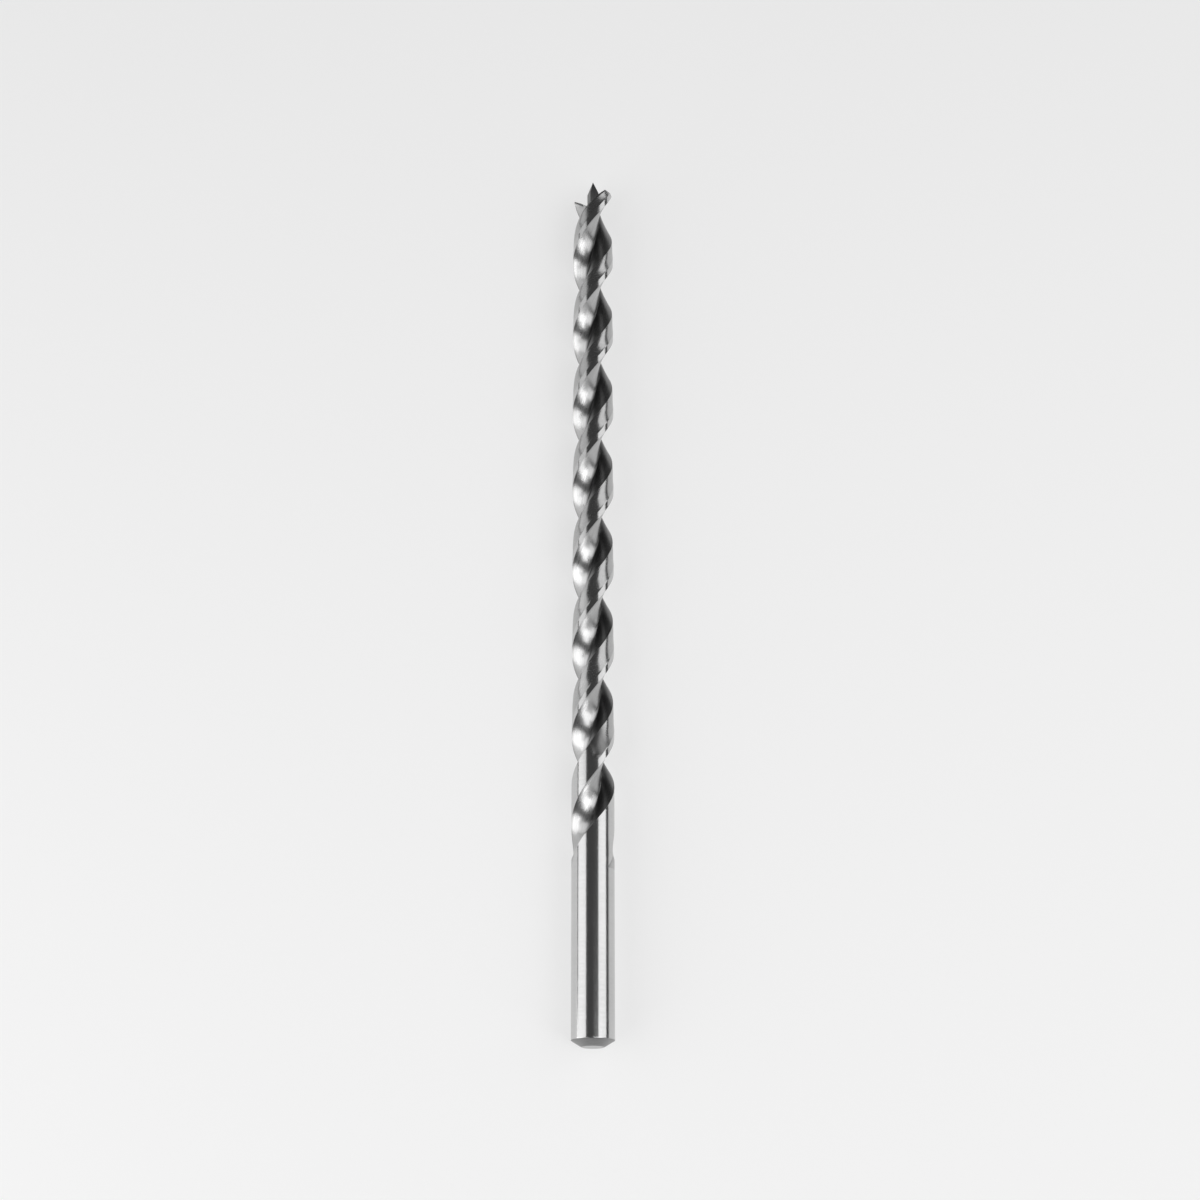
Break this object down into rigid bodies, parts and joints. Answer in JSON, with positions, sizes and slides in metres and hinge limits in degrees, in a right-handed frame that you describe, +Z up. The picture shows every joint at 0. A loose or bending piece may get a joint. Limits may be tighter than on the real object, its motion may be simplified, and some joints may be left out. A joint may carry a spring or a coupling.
{
  "type": "brad point drill bit",
  "caption": "Long brad point wood bit with helical flutes, outer spurs and a square centre point on a plain round shank, for drilling clean deep holes.",
  "frame": {"origin": "centre of the flat end face of the shank, on the bit's axis", "axes": "+Y along the axis from the shank to the brad point, +Z up as the bit lies on a table, +X to the right seen from above with the point away"},
  "size_m": [0.007, 0.1524, 0.007],
  "materials": {
    "flute_steel": "ground bright",
    "shank_steel": "ground bright"
  },
  "bodies": {
    "root": {"fluted_body": "flute_steel", "shank": "shank_steel"}
  },
  "joints": []
}
